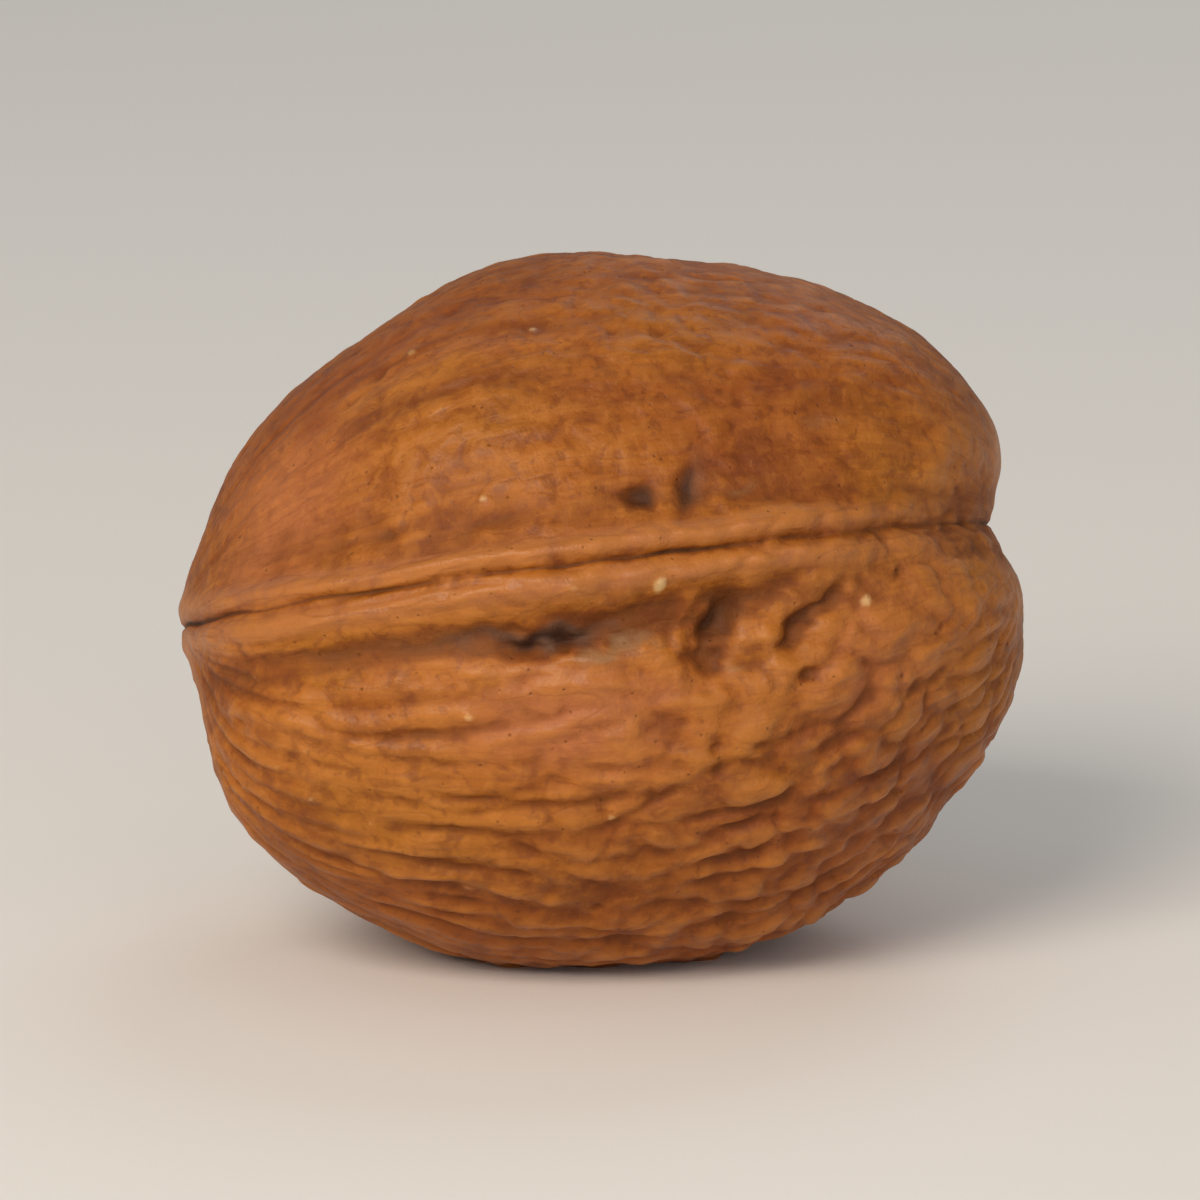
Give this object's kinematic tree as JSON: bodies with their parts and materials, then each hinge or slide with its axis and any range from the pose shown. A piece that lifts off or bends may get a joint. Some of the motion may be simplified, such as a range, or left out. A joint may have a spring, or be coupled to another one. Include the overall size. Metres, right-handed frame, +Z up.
{
  "type": "walnut",
  "caption": "Whole walnut in its closed, furrowed shell, with a raised seam all round, a blunt pointed tip and a small flat spot to rest on.",
  "frame": {"origin": "on the surface the nut rests on, under the middle of its box", "axes": "+Z up; +X along the nut's length, from the pointed tip to the butt; -Y towards the side that the picture shows"},
  "size_m": [0.0404, 0.034, 0.0336],
  "materials": {
    "shell": "dry natural nutshell, satin, warm brown with darker pits"
  },
  "bodies": {
    "root": {"walnut": "shell"}
  },
  "joints": []
}
